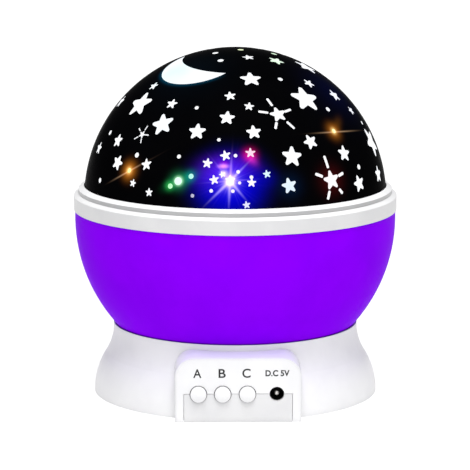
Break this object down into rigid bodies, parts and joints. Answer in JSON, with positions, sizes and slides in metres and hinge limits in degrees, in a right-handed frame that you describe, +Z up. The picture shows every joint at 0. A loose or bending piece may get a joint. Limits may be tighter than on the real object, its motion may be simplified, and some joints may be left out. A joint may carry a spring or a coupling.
{
  "type": "star night light projector",
  "caption": "Round night light: a star-windowed dome on a coloured ball that turns on a flared base with push buttons, a power inlet, a motor drive and a battery bay.",
  "frame": {"origin": "centre of the base's underside on the turning axis", "axes": "+Z up along the turning axis, control panel faces -Y, +X to the right of a person facing the panel"},
  "size_m": [0.1298, 0.1298, 0.139],
  "materials": {
    "white_shell": "moulded white ABS, soft gloss",
    "purple_gloss": "vivid purple glossy moulded plastic",
    "black_skin": "glossy black film skin with clear windows",
    "milky_dome": "milky translucent plastic lit from inside",
    "inner_plastic": "plain moulded plastic",
    "gear_plastic": "natural acetal",
    "black_plastic": "black moulded plastic",
    "board_green": "green solder mask",
    "board_white": "white solder mask",
    "plated_metal": "nickel plate",
    "motor_metal": "plated steel can",
    "screw_steel": "zinc plated screws",
    "led_warm": "clear warm LED",
    "led_blue": "clear blue LED",
    "led_green": "clear green LED",
    "led_red": "clear red LED",
    "lead_grey": "grey flat lead",
    "lead_red": "red insulated lead",
    "cell_wrap": "plain green cell wrap"
  },
  "bodies": {
    "base": {"base_housing": "white_shell", "base_cover": "white_shell", "chassis_plate": "inner_plastic", "housing_screws": "screw_steel", "chassis_screws": "screw_steel", "control_board": "board_green", "board_components": "black_plastic", "switch_bodies": "black_plastic", "dc_jack": "black_plastic", "dc_jack_pin": "plated_metal", "gear_motor": "motor_metal", "motor_screws": "screw_steel", "thrust_washer": "plated_metal", "led_pillar": "white_shell", "led_board": "board_white", "led_warm": "led_warm", "led_blue": "led_blue", "led_green": "led_green", "led_red": "led_red", "led_board_screws": "screw_steel", "led_ribbon": "lead_grey", "motor_leads": "lead_red", "battery_leads": "lead_red", "aaa_cells": "cell_wrap", "battery_contacts": "plated_metal", "battery_springs": "plated_metal"},
    "ball": {"bowl": "purple_gloss", "rim_ring": "white_shell", "drive_gear": "gear_plastic", "gear_screws": "screw_steel"},
    "pinion": {"motor_shaft": "plated_metal", "motor_pinion": "gear_plastic"},
    "dome": {"dome_ring": "white_shell", "dome_diffuser": "milky_dome", "star_mask": "black_skin"},
    "key_a": {"button_a": "white_shell", "switch_plunger_a": "gear_plastic"},
    "key_b": {"button_b": "white_shell", "switch_plunger_b": "gear_plastic"},
    "key_c": {"button_c": "white_shell", "switch_plunger_c": "gear_plastic"},
    "bay_door": {"battery_door": "white_shell", "door_screws": "screw_steel"}
  },
  "joints": [
    {"name": "ball_spin", "type": "hinge", "parent": "base", "child": "ball", "pos_m": [0, 0, 0.027], "axis": [0, 0, 1], "continuous": true},
    {"name": "pinion_spin", "type": "hinge", "parent": "base", "child": "pinion", "pos_m": [0, -0.028, 0.02], "axis": [0, 0, 1], "continuous": true},
    {"name": "dome_lift", "type": "slide", "parent": "ball", "child": "dome", "axis": [0, 0, 1], "range_m": [0, 0.07]},
    {"name": "press_a", "type": "slide", "parent": "base", "child": "key_a", "axis": [0, 1, 0], "range_m": [0, 0.0012], "stiffness_N_per_m": 600},
    {"name": "press_b", "type": "slide", "parent": "base", "child": "key_b", "axis": [0, 1, 0], "range_m": [0, 0.0012], "stiffness_N_per_m": 600},
    {"name": "press_c", "type": "slide", "parent": "base", "child": "key_c", "axis": [0, 1, 0], "range_m": [0, 0.0012], "stiffness_N_per_m": 600},
    {"name": "battery_door_drop", "type": "slide", "parent": "base", "child": "bay_door", "axis": [0, 0, -1], "range_m": [0, 0.03]}
  ],
  "couplings": [
    {"joint": "pinion_spin", "follows": "ball_spin", "ratio": -3.6667}
  ]
}
